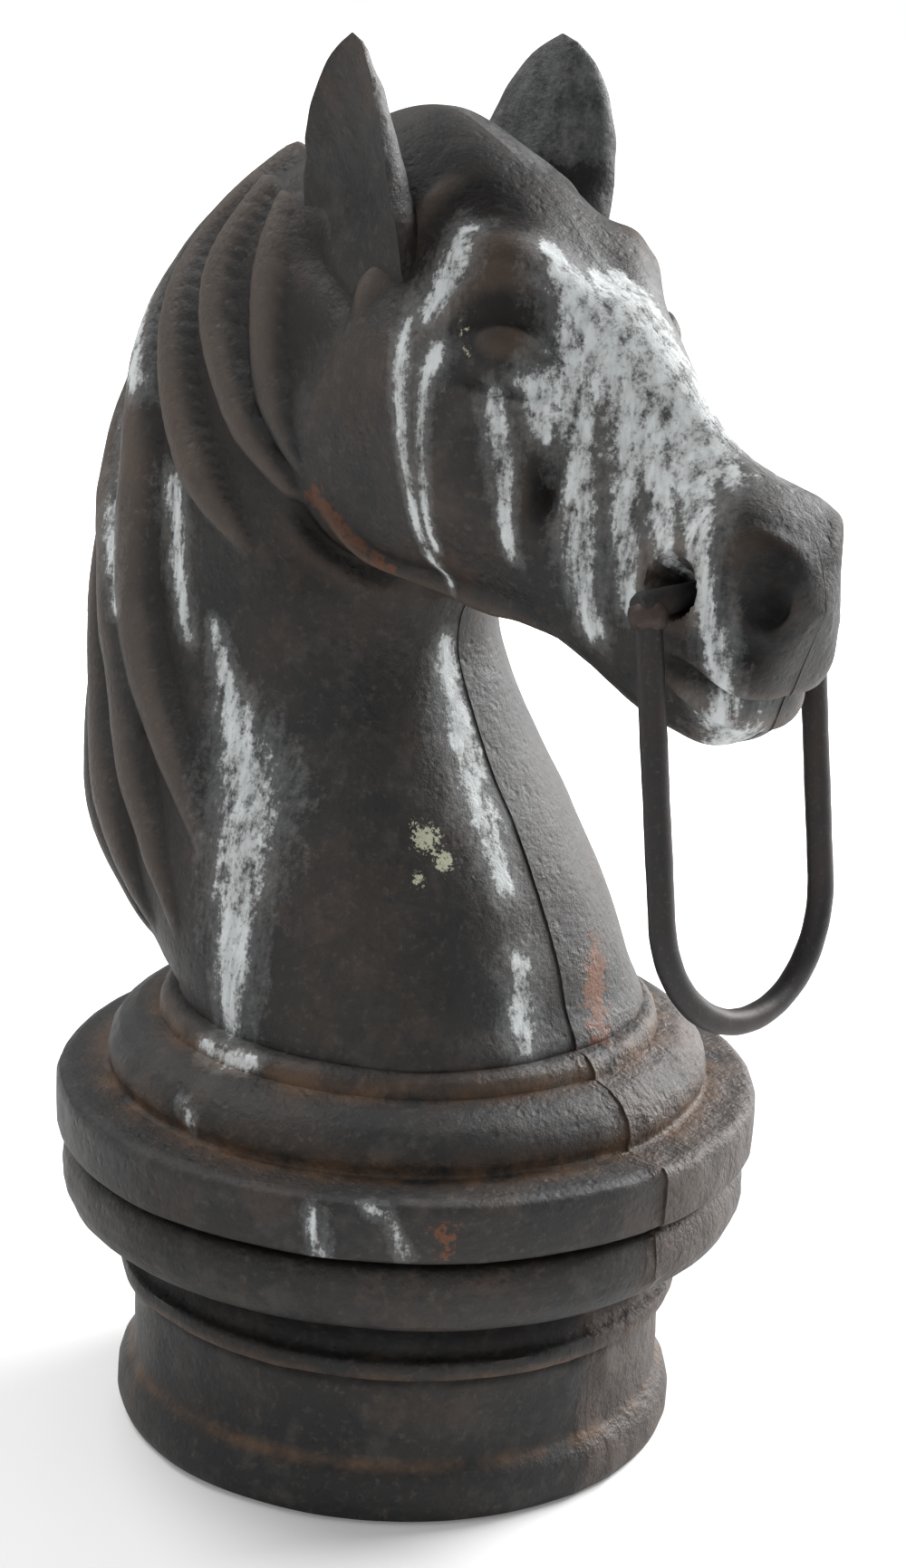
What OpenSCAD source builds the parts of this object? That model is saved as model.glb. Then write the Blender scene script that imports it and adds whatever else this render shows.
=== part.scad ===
// Horse-head hitching post head: two hollow iron half castings, bolted
// together inside, with a steel bail that swings from a bar in the mouth.
// Millimetres. Z is up, the horse looks along -Y, its right side is -X.

/* [Base] */
// Radius of the flared foot ring
foot_r = 76; // [60:0.5:95]
// Height of the foot ring
foot_h = 15; // [8:0.5:25]
// Radius of the plain wall above the foot
wall_r = 71.5; // [64:0.5:90]
// Height where the cove above the plain wall starts
cove_z = 41; // [25:0.5:55]
// Rise of the cove
cove_h = 20; // [10:0.5:25]
// Radius of the round bead under the flange
bead_r = 92; // [80:0.5:110]
// Radius of the flange
flange_r = 93.5; // [82:0.5:115]
// Height of the flange's lower edge
flange_z = 81; // [70:0.5:100]
// Thickness of the flange
flange_t = 16; // [8:0.5:25]
// Radius of the large round moulding on the flange
torus_r = 79.5; // [70:0.5:90]
// Rise of the large round moulding
torus_h = 17; // [13:0.5:25]
// Roll of the large round moulding, across
torus_w = 12; // [8:0.5:15]
// Width of the collar around the neck
collar_w = 6; // [3:0.5:10]
// Height of the collar around the neck
collar_h = 4; // [2:0.5:8]
// Rounding of the edges of foot and flange
edge = 3; // [1:0.5:4]

/* [Socket] */
// Radius of the bore that drops over the post
socket_r = 60; // [45:0.5:64]
// Depth of the bore
socket_depth = 60; // [30:1:66]
// Radius of the opening in the stop ledge
ledge_r = 54; // [35:0.5:58]
// Thickness of the stop ledge
ledge_t = 8; // [5:0.5:12]
// Thickness of the iron
iron_t = 11; // [7:0.5:14]
// Thickness of the iron at the neck's foot
neck_lip = 7; // [5:0.5:10]
// Depth to which the head is sunk in the base
lip_sink = 2; // [1:0.5:4]

/* [Seam] */
// Open joint between the two halves
seam_gap = 0.4; // [0.1:0.1:1.5]
// How far the left half stands forward of the right
seam_shift = 1.5; // [0:0.1:3]

/* [Tie bolts] */
// Shank diameter of the bolts
bolt_d = 8; // [6:0.5:10]
// Play of the bolt in its holes, on the diameter
bolt_play = 1; // [0.4:0.1:2]
// Distance of the bolts from the axis
bolt_y = 47; // [40:0.5:50]
// Thickness of each lug
lug_t = 13; // [8:0.5:20]
// Height of each lug
lug_h = 20; // [18:0.5:24]
// Width across flats of heads and nuts
hex_af = 13; // [10:0.5:15]
// Height of the bolt heads
head_h = 5.5; // [4:0.5:8]
// Height of the nuts
nut_h = 6.5; // [5:0.5:9]
// Thickness of the washers
washer_t = 1.6; // [1:0.1:3]
// Radius of the washers
washer_r = 8; // [7:0.5:9]
// Thread that shows past each nut
bolt_tail = 3; // [1:0.5:8]

/* [Head] */
// Height from the neck's foot to the tips of the ears
head_rise = 255; // [230:1:280]

/* [Bail] */
// Diameter of the steel bar
bar_d = 6.5; // [5:0.25:8]
// Diameter of the hole through the corners of the mouth
mouth_d = 12; // [10:0.5:14]
// Gap under the bar where it lies in the hole
bar_gap = 0.35; // [0.3:0.05:0.8]
// Distance between the centres of the two legs
bail_w = 59; // [57:0.5:70]
// Drop from the bar to the bottom of the bow
bail_drop = 104; // [85:1:110]
// Forward lean of the bail at rest, in degrees
bail_lean = 8; // [0:0.5:15]
// How far the bar runs past each leg
bar_past = 3.5; // [2:0.5:8]
// Radius of the weld beads
weld_r = 4.8; // [4.2:0.1:6]
// Height of the weld beads
weld_h = 4; // [2:0.5:8]

/* [Hidden] */
$fn = 96;
flange_top = flange_z + flange_t;
lip_z = flange_top + torus_h - lip_sink;
bead_foot = cove_z + cove_h;
bead_z = (bead_foot + flange_z) / 2;
bead_tube = (flange_z - bead_foot) / 2;
cavity_r = flange_r - 1.6 * iron_t;
ledge_top = socket_depth + ledge_t;
lug_z = ledge_top + lug_h / 2;
// The head's tables are drawn full size, with heights from the neck's foot.
// stations from the neck's foot to the lips: front y, z, back y, z, half width, lean
STATIONS = [
  [-60.5, 0, 60.5, 0, 60.5, 0], [-60.5, 5, 60.5, 5, 60.5, 0],
  [-60.5, 9, 61, 9, 60.5, 0], [-57, 16, 70, 16, 60.5, 0],
  [-53, 27, 81, 27, 60, 0], [-46, 43, 92.5, 43, 57, 0],
  [-36, 60, 97.5, 61, 53, 0], [-25, 76, 100, 80, 48.5, 0],
  [-17, 91, 101.5, 102, 44.5, 0], [-13, 102, 101, 126, 42, 0],
  [-13, 110, 96.5, 151, 40.5, 0], [-15, 115, 86.5, 176, 39.5, 0],
  [-18, 117.5, 68.5, 199, 38.5, 0], [-22, 118, 44, 218, 38, -0.05],
  [-27, 117.5, 20, 231, 37.5, -0.1], [-33, 117, 0, 237, 37, -0.12],
  [-39, 116.5, -20, 230, 37.5, -0.1], [-46, 116, -38, 219, 37, -0.06],
  [-54, 115, -53, 209, 34.5, -0.08], [-62, 113, -66, 198, 30.5, -0.2],
  [-71, 109, -79, 185, 26, -0.3], [-81, 103, -91, 174, 23, -0.3],
  [-91, 99.5, -102, 166.5, 21.5, -0.25], [-101, 99, -112, 161, 21.5, -0.1],
  [-109, 101, -119, 156, 20.5, 0], [-116, 106, -125, 149, 16.5, 0],
  [-121, 114, -128, 140, 10.5, 0], [-123.5, 120, -129, 134, 5, 0]
];
// swellings and hollows: centre, reach, height
SWELLS = [
  [[-33, -53, 188], [11, 11, 8], 4.5], [[-25, -46, 205], [13, 17, 7], 5],
  [[-36, -14, 152], [20, 30, 30], 4], [[-36, -74, 167], [16, 13, 12], -3],
  [[-14, -124, 135], [7, 8, 11], -9], [[-15, -113, 151], [11, 12, 8], 3.5],
  [[-12, -121, 118], [13, 9, 6], 2.5], [[-10, -106, 100], [12, 10, 6], 2]
];
// mane locks: half width, height, and points along the back of each
LOCKS = [
  [8.5, 6, [
    [-5, 52, 215], [-10, 64, 204], [-15, 74, 192], [-19, 80, 178],
    [-30, 70, 161], [-36, 63, 146], [-40, 55, 133], [-41, 44, 125],
    [-39, 26, 124]
  ]],
  [8, 5, [
    [-18, 32, 217], [-26, 37, 203], [-33, 35, 190], [-37, 31, 175],
    [-38, 24, 162], [-38, 14, 154], [-36, 3, 145]
  ]],
  [8.5, 6, [
    [-3, 66, 206], [-6, 80, 191], [-9, 90, 173], [-16, 92, 154],
    [-24, 87, 138], [-31, 78, 124], [-38, 66, 114]
  ]],
  [9.5, 6.5, [
    [-10, 96, 150], [-22, 92, 130], [-33, 82, 112], [-40, 73, 94],
    [-46, 62, 76], [-52, 47, 59], [-57, 35, 42], [-59, 27, 22]
  ]],
  [9.5, 6.5, [
    [-4, 101, 102], [-14, 99, 84], [-26, 92, 66], [-38, 79, 48],
    [-46, 65, 33], [-52, 50, 17]
  ]]
];
// ear: foot, tip, half width and depth; the shell is turned to open outward
EAR_FOOT = [-23, 0, 195];
EAR_TIP = [-36, -5, 255];
EAR_SIZE = [15, 16];
ear_turn = -78;
// middle of the mouth hole: y and height
MOUTH = [-101, 137];
last = len(STATIONS) - 1;
// the head is solid past the first station; the mane lies between the others
hollow_end = 18;
mane_first = 4;
mane_last = 15.5;
MANE_FULL = 2.4;

// the head grows with its height; the iron and the seam keep their own sizes
head_scale = head_rise / EAR_TIP[2];
head_wall = iron_t / head_scale;
half_seam = seam_gap / 2 / head_scale;
neck_r = STATIONS[0][4] * head_scale;
mouth_y = MOUTH[0] * head_scale;
mouth_z = lip_z + MOUTH[1] * head_scale;
bar_z = mouth_z - (mouth_d - bar_d) / 2 + bar_gap;
bow_r = bail_w / 2;
// heights in the bail, from the middle of the bar
bow_z = bow_r - bail_drop;
leg_top = -bar_d / 2;
bar_half = bow_r + bar_past;
bolt_x = -lug_t - seam_gap / 2 - washer_t;
nut_x = lug_t + seam_gap / 2 + washer_t;
bolt_len = nut_x - bolt_x + nut_h + bolt_tail;

// smooth curve through the stations
function spline(p, q, r, s, t) =
  q + t * ((r - p) + t * ((2 * p - 5 * q + 4 * r - s) + t * (3 * q - p - 3 * r + s))) / 2;
function station(u, i) =
  let (k = min(floor(u), last - 1))
    spline(
      STATIONS[max(k - 1, 0)][i], STATIONS[k][i],
      STATIONS[k + 1][i], STATIONS[min(k + 2, last)][i], u - k
    );
function step(low, high, v) =
  let (t = max(0, min(1, (v - low) / (high - low)))) t * t * (3 - 2 * t);
// distance of a point from the stretch between two others
function stretch_gap(p, a, b) =
  let (t = max(0, min(1, (p - a) * (b - a) / ((b - a) * (b - a)))))
    norm(p - a - t * (b - a));
// mane: a fullness behind the crest, and long locks that run back and down from it
function mane_height(u, turn) =
  MANE_FULL * step(100, 132, turn) * step(mane_first, mane_first + 1.5, u)
  * (1 - step(mane_last - 2.5, mane_last, u));
function lock_height(p) =
  max([
    for (lock = LOCKS)
      let (
        places = lock[2],
        gap = min([for (i = [1:len(places) - 1]) stretch_gap(p, places[i - 1], places[i])]),
        across = min(gap / lock[0], 1)
      )
        lock[1] * pow(1 - across * across, 0.85)
  ]);
function swell_height(p) = [
  for (swell = SWELLS)
    let (d = p - swell[0], r = swell[1])
      swell[2] * exp(-pow(d[0] / r[0], 2) - pow(d[1] / r[1], 2) - pow(d[2] / r[2], 2))
] * [for (swell = SWELLS) 1];
// places around a ring and along the stations, closer in the mane
TURNS = [each [0:13:78], each [85:7:169], 180];
ROWS = [each [0:0.5:3.5], each [4:0.3:15], each [15.5:0.5:last]];
// point on the outside: u along the stations, turn 0 at the front and 180 at the back
function skin(u, turn) =
  let (
    front = [0, station(u, 0), station(u, 1)],
    back = [0, station(u, 2), station(u, 3)],
    mid = (front + back) / 2,
    reach = (back - front) / 2,
    side = station(u, 4) * (1 - station(u, 5) * cos(turn)) * pow(sin(turn), 0.9),
    p = mid - reach * cos(turn) - [side, 0, 0],
    out = (p - mid) / norm(p - mid),
    q = p + out * (mane_height(u, turn) + lock_height(p) + swell_height(p))
  )
    [min(q[0], 0) - half_seam, q[1], q[2]];
// point on the inside: flat against the seam where the head is solid
function core(u, turn) =
  let (
    wall = u < 2.5 ? neck_lip / head_scale : head_wall,
    front = [0, station(u, 0), station(u, 1)],
    back = [0, station(u, 2), station(u, 3)],
    mid = (front + back) / 2,
    reach = (back - front) / 2,
    fill = 1 - step(hollow_end - 2, hollow_end, u),
    side = fill * (station(u, 4) - wall) * sin(turn)
  )
    mid - reach * max(1 - wall / norm(reach), 0.3) * cos(turn) - [side + half_seam, 0, 0];
// inside from front to back, then outside from back to front
function ring(u) = concat(
  [for (turn = TURNS) core(u, turn)],
  [for (i = [len(TURNS) - 1:-1:0]) skin(u, TURNS[i])]
);
// an ear is a leaf-shaped shell, hollow toward the outside
function ear_ring(t, n) =
  let (
    mid = EAR_FOOT + (EAR_TIP - EAR_FOOT) * t,
    w = EAR_SIZE[0] * (0.03 + 0.97 * pow(1 - pow(t, 2.2), 0.62)),
    d = EAR_SIZE[1] * (1 - 0.72 * t),
    hollow = 0.3 * step(0.1, 0.5, t) - 0.5 * (1 - step(0.1, 0.5, t))
  )
    [
      for (i = [0:n - 1])
        let (
          a = 180 * i / (n / 2 - 1),
          back = i < n / 2,
          b = 180 - 180 * (i - n / 2) / (n / 2 - 1),
          x = back ? w * cos(a) : (0.97 - 0.3 * sin(b)) * w * cos(b),
          y = (back ? sin(a) : hollow * sin(b)) * d - 0.35 * d
        )
          mid + [
            x * cos(ear_turn) - y * sin(ear_turn),
            x * sin(ear_turn) + y * cos(ear_turn),
            0
          ]
    ];

// skin over a row of rings that run counter-clockwise seen from the last;
// each end is closed by a strip from the ring's first half to its second
module loft(rings) {
  n = len(rings[0]);
  m = len(rings);
  top = (m - 1) * n;
  polyhedron(
    points = [for (ring = rings) each ring],
    faces = concat(
      [
        for (i = [0:m - 2]) for (j = [0:n - 1]) each [
          [i * n + j, (i + 1) * n + (j + 1) % n, i * n + (j + 1) % n],
          [i * n + j, (i + 1) * n + j, (i + 1) * n + (j + 1) % n]
        ]
      ],
      [
        for (j = [0:n / 2 - 2]) each [
          [j, j + 1, n - 1 - j], [j + 1, n - 2 - j, n - 1 - j],
          [top + j, top + n - 1 - j, top + j + 1],
          [top + j + 1, top + n - 1 - j, top + n - 2 - j]
        ]
      ]
    )
  );
}

// right half of the head, from the lip inside the base to the ear
module sculpt() {
  translate([0, 0, lip_z])
    scale(head_scale) {
      loft([for (u = ROWS) ring(u)]);
      loft([for (t = [0:0.1:1]) ear_ring(t, 16)]);
    }
}

// base mouldings, outline from the foot up and down again inside
module base_outline() {
  bore_skin = socket_r - 3;
  inner_lip = neck_r - neck_lip - 2;
  roll_z = flange_top + torus_h / 3;
  roll_h = torus_h * 0.53;
  collar_z = flange_top + torus_h;
  polygon(concat(
    [[bore_skin, 0], [foot_r - edge * 0.7, 0], [foot_r, edge], [foot_r, foot_h * 0.6]],
    [[wall_r + 1, foot_h], [wall_r, foot_h + edge], [wall_r, cove_z]],
    [
      for (a = [90:-15:0])
        [bead_r - 4 - (bead_r - wall_r - 6) * sin(a), bead_foot - cove_h * sin(a) * 0.99]
    ],
    [for (a = [-75:15:75]) [bead_r - bead_tube + bead_tube * cos(a), bead_z + bead_tube * sin(a)]],
    [[flange_r - edge / 3, flange_z], [flange_r, flange_z + edge / 2]],
    [[flange_r, flange_top - edge], [flange_r - edge, flange_top], [torus_r, flange_top + 0.5]],
    [for (a = [-30:15:75]) [torus_r - torus_w + torus_w * cos(a), roll_z + roll_h * sin(a)]],
    [[neck_r + collar_w, collar_z], [neck_r + collar_w * 0.85, collar_z + collar_h / 2]],
    [[neck_r + collar_w / 2, collar_z + collar_h], [inner_lip, collar_z + collar_h]],
    [[inner_lip, lip_z - 4], [cavity_r, flange_top - 6]],
    [[cavity_r, ledge_top], [ledge_r, ledge_top], [ledge_r, socket_depth - 1]],
    [[bore_skin, socket_depth - 1]]
  ));
}

module half_base() {
  rotate([0, 0, 90])
    rotate_extrude(angle = 180, $fn = 96)
      base_outline();
}

// lugs inside, just above the stop ledge
module lugs() {
  for (end = [-1, 1]) {
    translate([-lug_t, end < 0 ? -cavity_r - 3 : bolt_y - 10, ledge_top - 1])
      cube([lug_t, cavity_r + 13 - bolt_y, lug_h + 1]);
  }
}

module across(r, x_from, x_to, y, z) {
  translate([x_from, y, z])
    rotate([0, 90, 0])
      cylinder(h = x_to - x_from, r = r);
}

// bore, bolt holes and mouth hole, true to the axes of the whole post
module bores() {
  translate([0, 0, -1])
    cylinder(h = socket_depth + 1, r = socket_r);
  for (end = [-1, 1]) {
    across((bolt_d + bolt_play) / 2, -lug_t - 4, lug_t + 4, end * bolt_y, lug_z);
  }
  across(mouth_d / 2, -bar_half - bail_w, bar_half + bail_w, mouth_y, mouth_z);
}

module right_half() {
  sculpt();
  translate([-seam_gap / 2, 0, 0]) {
    half_base();
    lugs();
  }
}

module right_half_casting() {
  color("#33312f")
    difference() {
      right_half();
      bores();
    }
}

module left_half_casting() {
  color("#33312f")
    difference() {
      translate([0, -seam_shift, 0])
        mirror([1, 0, 0])
          right_half();
      bores();
    }
}

module tie_bolts() {
  color("#4a4643")
    for (end = [-1, 1]) {
      across(bolt_d / 2, bolt_x - 0.01, bolt_x + bolt_len, end * bolt_y, lug_z);
      translate([bolt_x - head_h, end * bolt_y, lug_z])
        rotate([0, 90, 0])
          cylinder(h = head_h, d = hex_af / cos(30), $fn = 6);
    }
}

module tie_washers() {
  color("#4a4643")
    for (end = [-1, 1]) for (x = [bolt_x, nut_x - washer_t]) {
      difference() {
        across(washer_r, x, x + washer_t, end * bolt_y, lug_z);
        across(bolt_d / 2 + bolt_play / 2, x - 1, x + washer_t + 1, end * bolt_y, lug_z);
      }
    }
}

module tie_nuts() {
  color("#4a4643")
    for (end = [-1, 1]) {
      difference() {
        translate([nut_x, end * bolt_y, lug_z])
          rotate([0, 90, 0])
            cylinder(h = nut_h, d = hex_af / cos(30), $fn = 6);
        across(bolt_d / 2, nut_x - 1, nut_x + nut_h + 1, end * bolt_y, lug_z);
      }
    }
}

module mouth_bar() {
  color("#5a4a40")
    across(bar_d / 2, -bar_half, bar_half, mouth_y, bar_z);
}

// turns the bail's own pieces about the bar
module leaning() {
  translate([0, mouth_y, bar_z])
    rotate([-bail_lean, 0, 0])
      children();
}

module leg(side) {
  translate([side * bow_r, 0, bow_z])
    cylinder(h = leg_top - bow_z, d = bar_d);
}

module bail_bow() {
  color("#5a4a40")
    leaning() {
      leg(-1);
      leg(1);
      translate([0, 0, bow_z])
        rotate([-90, 0, 0])
          rotate_extrude(angle = 180, $fn = 96)
            translate([bow_r, 0])
              circle(d = bar_d, $fn = 32);
    }
}

// a collar of weld metal around the top of each leg, close under the bar
module bail_welds() {
  color("#4d4038")
    leaning() {
      for (side = [-1, 1]) {
        translate([side * bow_r, 0, leg_top - weld_h])
          difference() {
            cylinder(h = weld_h, r1 = weld_r * 0.8, r2 = weld_r);
            translate([0, 0, -1])
              cylinder(h = weld_h + 2, d = bar_d);
          }
      }
    }
}

right_half_casting();
left_half_casting();
tie_bolts();
tie_washers();
tie_nuts();
mouth_bar();
bail_bow();
bail_welds();
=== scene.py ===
"""Horse-head hitching post head: two iron half castings, bolted together inside, and a steel bail
hung from the mouth.

Lengths in the tables are millimetres in the part's frame: Z up, the horse looks along -Y, its right
side is -X.
"""

import bpy
import numpy as np
from mathutils import Matrix, Vector


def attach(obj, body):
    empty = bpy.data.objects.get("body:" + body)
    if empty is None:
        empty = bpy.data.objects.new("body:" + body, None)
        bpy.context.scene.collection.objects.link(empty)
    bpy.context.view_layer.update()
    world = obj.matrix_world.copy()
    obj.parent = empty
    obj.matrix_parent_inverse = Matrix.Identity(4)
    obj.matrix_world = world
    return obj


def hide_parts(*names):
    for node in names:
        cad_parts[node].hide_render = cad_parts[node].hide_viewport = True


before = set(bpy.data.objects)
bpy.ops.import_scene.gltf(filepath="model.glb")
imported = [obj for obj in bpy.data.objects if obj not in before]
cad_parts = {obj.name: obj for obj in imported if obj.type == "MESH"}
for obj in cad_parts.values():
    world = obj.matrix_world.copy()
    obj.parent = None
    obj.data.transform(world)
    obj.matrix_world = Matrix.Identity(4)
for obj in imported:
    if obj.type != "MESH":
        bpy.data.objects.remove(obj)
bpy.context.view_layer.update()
MM = 0.001


# Right half casting
# One hollow sand-cast iron half: the head and neck above, half of the moulded base below.
# The sand left a coarse skin; it was painted black, and weather, birds and lichen have marked it.

# stations from the neck's foot to the lips: front y, z, back y, z, half width, lean of the width upward
STATIONS = np.array([
    (-60.5, 112, 60.5, 112, 60.5, 0), (-60.5, 117, 60.5, 117, 60.5, 0), (-60.5, 121, 61, 121, 60.5, 0),
    (-57, 128, 70, 128, 60.5, 0), (-53, 139, 81, 139, 60, 0), (-46, 155, 92.5, 155, 57, 0),
    (-36, 172, 97.5, 173, 53, 0), (-25, 188, 100, 192, 48.5, 0), (-17, 203, 101.5, 214, 44.5, 0),
    (-13, 214, 101, 238, 42, 0), (-13, 222, 96.5, 263, 40.5, 0), (-15, 227, 86.5, 288, 39.5, 0),
    (-18, 229.5, 68.5, 311, 38.5, 0), (-22, 230, 44, 330, 38, -0.05), (-27, 229.5, 20, 343, 37.5, -0.1),
    (-33, 229, 0, 349, 37, -0.12), (-39, 228.5, -20, 342, 37.5, -0.1), (-46, 228, -38, 331, 37, -0.06),
    (-54, 227, -53, 321, 34.5, -0.08), (-62, 225, -66, 310, 30.5, -0.2), (-71, 221, -79, 297, 26, -0.3),
    (-81, 215, -91, 286, 23, -0.3), (-91, 211.5, -102, 278.5, 21.5, -0.25),
    (-101, 211, -112, 273, 21.5, -0.1), (-109, 213, -119, 268, 20.5, 0), (-116, 218, -125, 261, 16.5, 0),
    (-121, 226, -128, 252, 10.5, 0), (-123.5, 232, -129, 246, 5, 0),
], float)
# swellings and hollows: centre, reach, height
SWELLS = [
    ((-26, -47, 317), (11, 15, 7), 6.5), ((-2, -56, 322), (9, 15, 12), -4),
    ((-36, -74, 279), (16, 13, 12), -3.5), ((-15, -113, 263), (11, 12, 8), 4),
    ((-12, -121, 230), (13, 9, 6), 3), ((-10, -106, 212), (12, 10, 6), 2.5),
    ((-38, -62, 262), (12, 16, 10), 2), ((-14, -96, 283), (14, 18, 9), -2),
    ((-21, -100, 254), (8, 9, 9), 3), ((-36, 4, 292), (10, 12, 12), -3),
    ((-20, -12, 236), (12, 30, 8), -2),
]
# cheek, eyeball and nostril, each flat in the middle with a firm edge: centre, reach, height
PLATES = [
    ((-37, -20, 272), (26, 31, 35), 4.5), ((-29, -53, 299), (6.5, 8, 4), 2.2),
    ((-14, -123, 250), (5.5, 6.5, 6.5), -3),
]
# mane locks: points along each lock's back, widest half width, height
LOCKS = [
    ([(-6, 44, 330), (-15, 61, 313), (-19, 74, 295), (-30, 71, 277), (-36, 67, 256), (-38, 67, 237),
      (-42, 63, 214), (-47, 50, 195), (-51, 36, 179), (-56, 18, 159)], 7.5, 6),
    ([(-13, 47, 323), (-19, 62, 306), (-32, 58, 287), (-37, 53, 273), (-39, 46, 260), (-40, 36, 248),
      (-39, 24, 237)], 6.5, 5.5),
    ([(-20, 37, 323), (-29, 45, 305), (-35, 40, 290), (-38, 33, 278), (-38, 22, 265), (-36, 8, 252)], 6, 5),
    ([(-25, 26, 322), (-33, 25, 303), (-37, 22, 288), (-38, 17, 275), (-37, 6, 260)], 5.5, 3.6),
    ([(-3, 66, 318), (-6, 80, 303), (-9, 90, 285), (-16, 92, 266), (-25, 87, 248), (-35, 77, 230),
      (-38, 73, 212), (-45, 62, 195), (-49, 55, 177), (-54, 43, 161), (-59, 26, 139)], 7.5, 6),
    ([(-2, 88, 292), (-6, 97, 268), (-12, 98, 246), (-24, 92, 222), (-37, 79, 200), (-42, 73, 182),
      (-48, 62, 165), (-52, 53, 148), (-56, 40, 135)], 7.5, 6),
    ([(-3, 101, 240), (-10, 101, 220), (-22, 95, 200), (-34, 84, 180), (-42, 72, 163), (-48, 60, 146),
      (-52, 48, 131)], 7.5, 6),
    ([(-3, 101, 214), (-9, 100, 196), (-19, 95, 178), (-31, 84, 160), (-39, 73, 146),
      (-45, 62, 132)], 7.5, 5.5),
    ([(-3, 100, 190), (-8, 98, 174), (-17, 92, 158), (-28, 82, 144), (-37, 70, 131)], 7.5, 5),
]
# grooves: points along the groove, half width, depth
GROOVES = [
    ([(-23, -99, 233), (-21, -107, 229), (-16, -113, 226), (-8, -118, 223), (0, -119, 222)], 2.2, 5),
    ([(-28, -64, 276), (-29, -67, 268), (-29, -68, 259)], 2.8, 3.2),
    ([(-36, -38, 295), (-34, -43, 304), (-29, -50, 308), (-23, -60, 304), (-20, -66, 297)], 2.4, 1.5),
    ([(-35, -41, 291), (-32, -50, 288), (-27, -60, 288), (-22, -67, 292)], 1.6, 2.2),
    ([(-37, 12, 256), (-34, 8, 246), (-29, 2, 239), (-23, -10, 232), (-18, -22, 230)], 2.8, 4.2),
    ([(-26, 20, 318), (-31, 10, 313), (-34, -2, 307), (-35, -8, 296)], 5, 3),
]
# ridges: points along the ridge, half width, height
RIDGES = [
    ([(-16, -24, 336), (-22, -23, 329), (-29, -19, 320), (-34, -13, 309), (-37, -5, 299)], 4, 2.6),
    ([(-36, 3, 258), (-32, -2, 248), (-26, -11, 241), (-22, -24, 237), (-22, -40, 235), (-23, -58, 234),
      (-22, -74, 231)], 3, 4),
    ([(-20, -113, 250), (-19, -115, 259), (-13, -121, 262), (-5, -126, 259), (-3, -127, 253)], 3, 1.5),
    ([(-37, -34, 297), (-34, -41, 309), (-27, -50, 314), (-20, -60, 309)], 3, 2.2),
    ([(-22, -100, 229), (-20, -107, 225), (-14, -113, 221), (0, -117, 218)], 2.6, 2.2),
]
# the mouth hole, a recess in each side of the muzzle; no point nearer the middle plane than HOLE_START sinks
MOUTH_Y, HOLE_Z, HOLE_R, HOLE_DEPTH, HOLE_START = -101.0, 249.3, 6.8, 14, -8
MANE_RISE = 2.4
SEAM_GAP, SEAM_EASE = 0.02, 3
IRON_WALL, NECK_WALL = 11.0, 7.0
# rows from the neck to the lips, columns round the outside, columns round the hidden inside
HEAD_ROWS, SKIN_COLUMNS, CORE_COLUMNS = 310, 190, 36


def smooth(low, high, v):
    """Rises from 0 at low to 1 at high as t^2(3 - 2t)."""
    t = np.clip((v - low) / (high - low), 0, 1)
    return t * t * (3 - 2 * t)


def at_station(u):
    """Catmull-Rom curve through the stations."""
    last = len(STATIONS) - 1
    k = np.minimum(np.floor(u).astype(int), last - 1)
    t = (u - k)[..., None]
    p, q = STATIONS[np.maximum(k - 1, 0)], STATIONS[k]
    r, s = STATIONS[k + 1], STATIONS[np.minimum(k + 2, last)]
    return q + t * ((r - p) + t * ((2 * p - 5 * q + 4 * r - s) + t * (3 * q - p - 3 * r + s))) / 2


def along(points, places):
    """Distance of each point from the line through places, and how far along it (0 to 1) that is."""
    places = np.array(places, float)
    best = np.full(points.shape[:-1], 1e9)
    way = np.zeros(points.shape[:-1])
    for i, (a, b) in enumerate(zip(places[:-1], places[1:])):
        t = np.clip(((points - a) @ (b - a)) / ((b - a) @ (b - a)), 0, 1)
        d = np.linalg.norm(points - a - t[..., None] * (b - a), axis=-1)
        near = d < best
        best = np.where(near, d, best)
        way = np.where(near, (i + t) / (len(places) - 1), way)
    return best, way


def lattice_noise(points, size, seed):
    """Value noise from -1 to 1: random values on a lattice of that cell size, blended with t^2(3 - 2t)."""
    cells = 32
    table = np.random.default_rng(seed).uniform(-1, 1, (cells, cells, cells))
    cell = np.floor(points / size).astype(int)
    t = points / size - cell
    t = t * t * (3 - 2 * t)
    out = np.zeros(points.shape[:-1])
    for corner in np.ndindex(2, 2, 2):
        weight = np.prod(np.where(np.array(corner), t, 1 - t), axis=-1)
        i, j, k = np.moveaxis((cell + corner) % cells, -1, 0)
        out += weight * table[i, j, k]
    return out


def level_at_seam(p):
    """The points with x |x| / sqrt(x^2 + ease^2) for x, so that relief is level across the middle plane."""
    x = p[..., :1]
    return np.concatenate([x * np.abs(x) / np.sqrt(x * x + SEAM_EASE**2), p[..., 1:]], -1)


def head_form(u, turn):
    """Plain form: middle - reach cos(turn) - side sin(turn)^0.9, turn 0 at a ring's front, pi at its back."""
    s = at_station(u)
    zero = np.zeros_like(u)
    front = np.stack([zero, s[..., 0], s[..., 1]], -1)
    back = np.stack([zero, s[..., 2], s[..., 3]], -1)
    middle, reach = (front + back) / 2, (back - front) / 2
    side = s[..., 4] * (1 - s[..., 5] * np.cos(turn)) * np.maximum(np.sin(turn), 0) ** 0.9
    p = middle - reach * np.cos(turn)[..., None]
    p[..., 0] -= side
    return p, middle, reach


form_rows, form_turns = np.linspace(0, len(STATIONS) - 1.01, 420), np.linspace(0, np.pi, 220)
FORM = head_form(*np.meshgrid(form_rows, form_turns, indexing="ij"))[0].reshape(-1, 3)


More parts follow.
